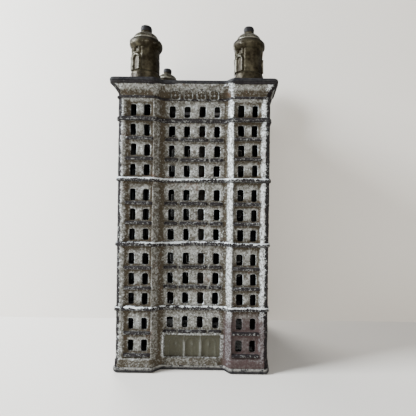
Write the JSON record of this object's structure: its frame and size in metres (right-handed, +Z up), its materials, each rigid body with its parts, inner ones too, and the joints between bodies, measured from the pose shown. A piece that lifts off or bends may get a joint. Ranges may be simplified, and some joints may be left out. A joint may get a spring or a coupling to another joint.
{
  "type": "still bank",
  "caption": "Cast iron coin bank shaped as a tall windowed tower block with domed corner turrets, a coin slot in the roof, and a long screw that clamps roof, walls and base.",
  "frame": {"origin": "middle of the underside of the base plate, on the surface the bank stands on", "axes": "+Z up the tower and along the tie screw, front with the doorway faces -Y, +X to the right as seen from the front"},
  "size_m": [0.0654, 0.0654, 0.14],
  "materials": {
    "worn_paint": "worn silver paint over cast iron, rust and grime in the hollows",
    "dark_iron": "dark bare cast iron with rubbed edges",
    "turret_bronze": "dark bronze paint over cast iron, worn",
    "screw_steel": "dull old steel, lightly rusted"
  },
  "bodies": {
    "base": {"base_plate": "dark_iron", "tie_nut": "screw_steel"},
    "case": {"front_wall": "worn_paint", "rear_wall": "worn_paint", "left_wall": "worn_paint", "right_wall": "worn_paint", "roof_plate": "dark_iron", "turret_front_left": "turret_bronze", "turret_front_right": "turret_bronze", "turret_rear_left": "turret_bronze", "turret_rear_right": "turret_bronze", "turret_screws": "screw_steel"},
    "tie_screw": {"tie_screw": "screw_steel"}
  },
  "joints": [
    {"name": "case_lift", "type": "slide", "parent": "base", "child": "case", "axis": [0, 0, 1], "range_m": [0, 0.00423]},
    {"name": "screw_turn", "type": "hinge", "parent": "case", "child": "tie_screw", "pos_m": [0, 0, 0.115], "axis": [0, 0, 1], "range_deg": [0, 1440]}
  ],
  "couplings": [
    {"joint": "screw_turn", "follows": "case_lift", "rad_per_m": 5938.7}
  ]
}
